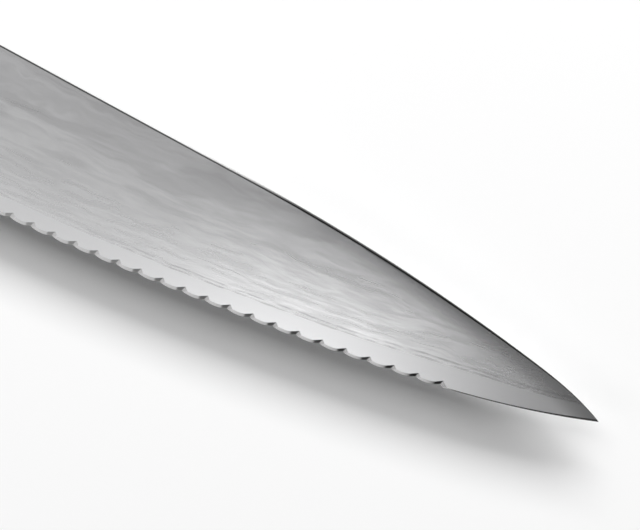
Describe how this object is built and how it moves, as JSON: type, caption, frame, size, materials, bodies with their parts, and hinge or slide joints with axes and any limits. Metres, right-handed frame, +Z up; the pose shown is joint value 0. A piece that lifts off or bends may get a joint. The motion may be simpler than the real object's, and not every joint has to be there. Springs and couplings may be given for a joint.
{
  "type": "serrated utility knife",
  "caption": "Kitchen utility knife with a layered steel blade, a serrated edge ground on its right face, and a D-section wooden handle.",
  "frame": {"origin": "on the surface that the knife lies on, under the middle of the grip's flat left side", "axes": "+X along the blade to the tip, +Y to the spine, +Z up, out of the serrated right face"},
  "size_m": [0.266, 0.0318, 0.0173],
  "materials": {
    "layered_steel": "satin",
    "satin_steel": "satin",
    "dark_wood": "satin"
  },
  "bodies": {
    "root": {"blade": "layered_steel", "bolster": "satin_steel", "grip": "dark_wood", "tang_rod": "satin_steel", "end_cap": "satin_steel"}
  },
  "joints": []
}
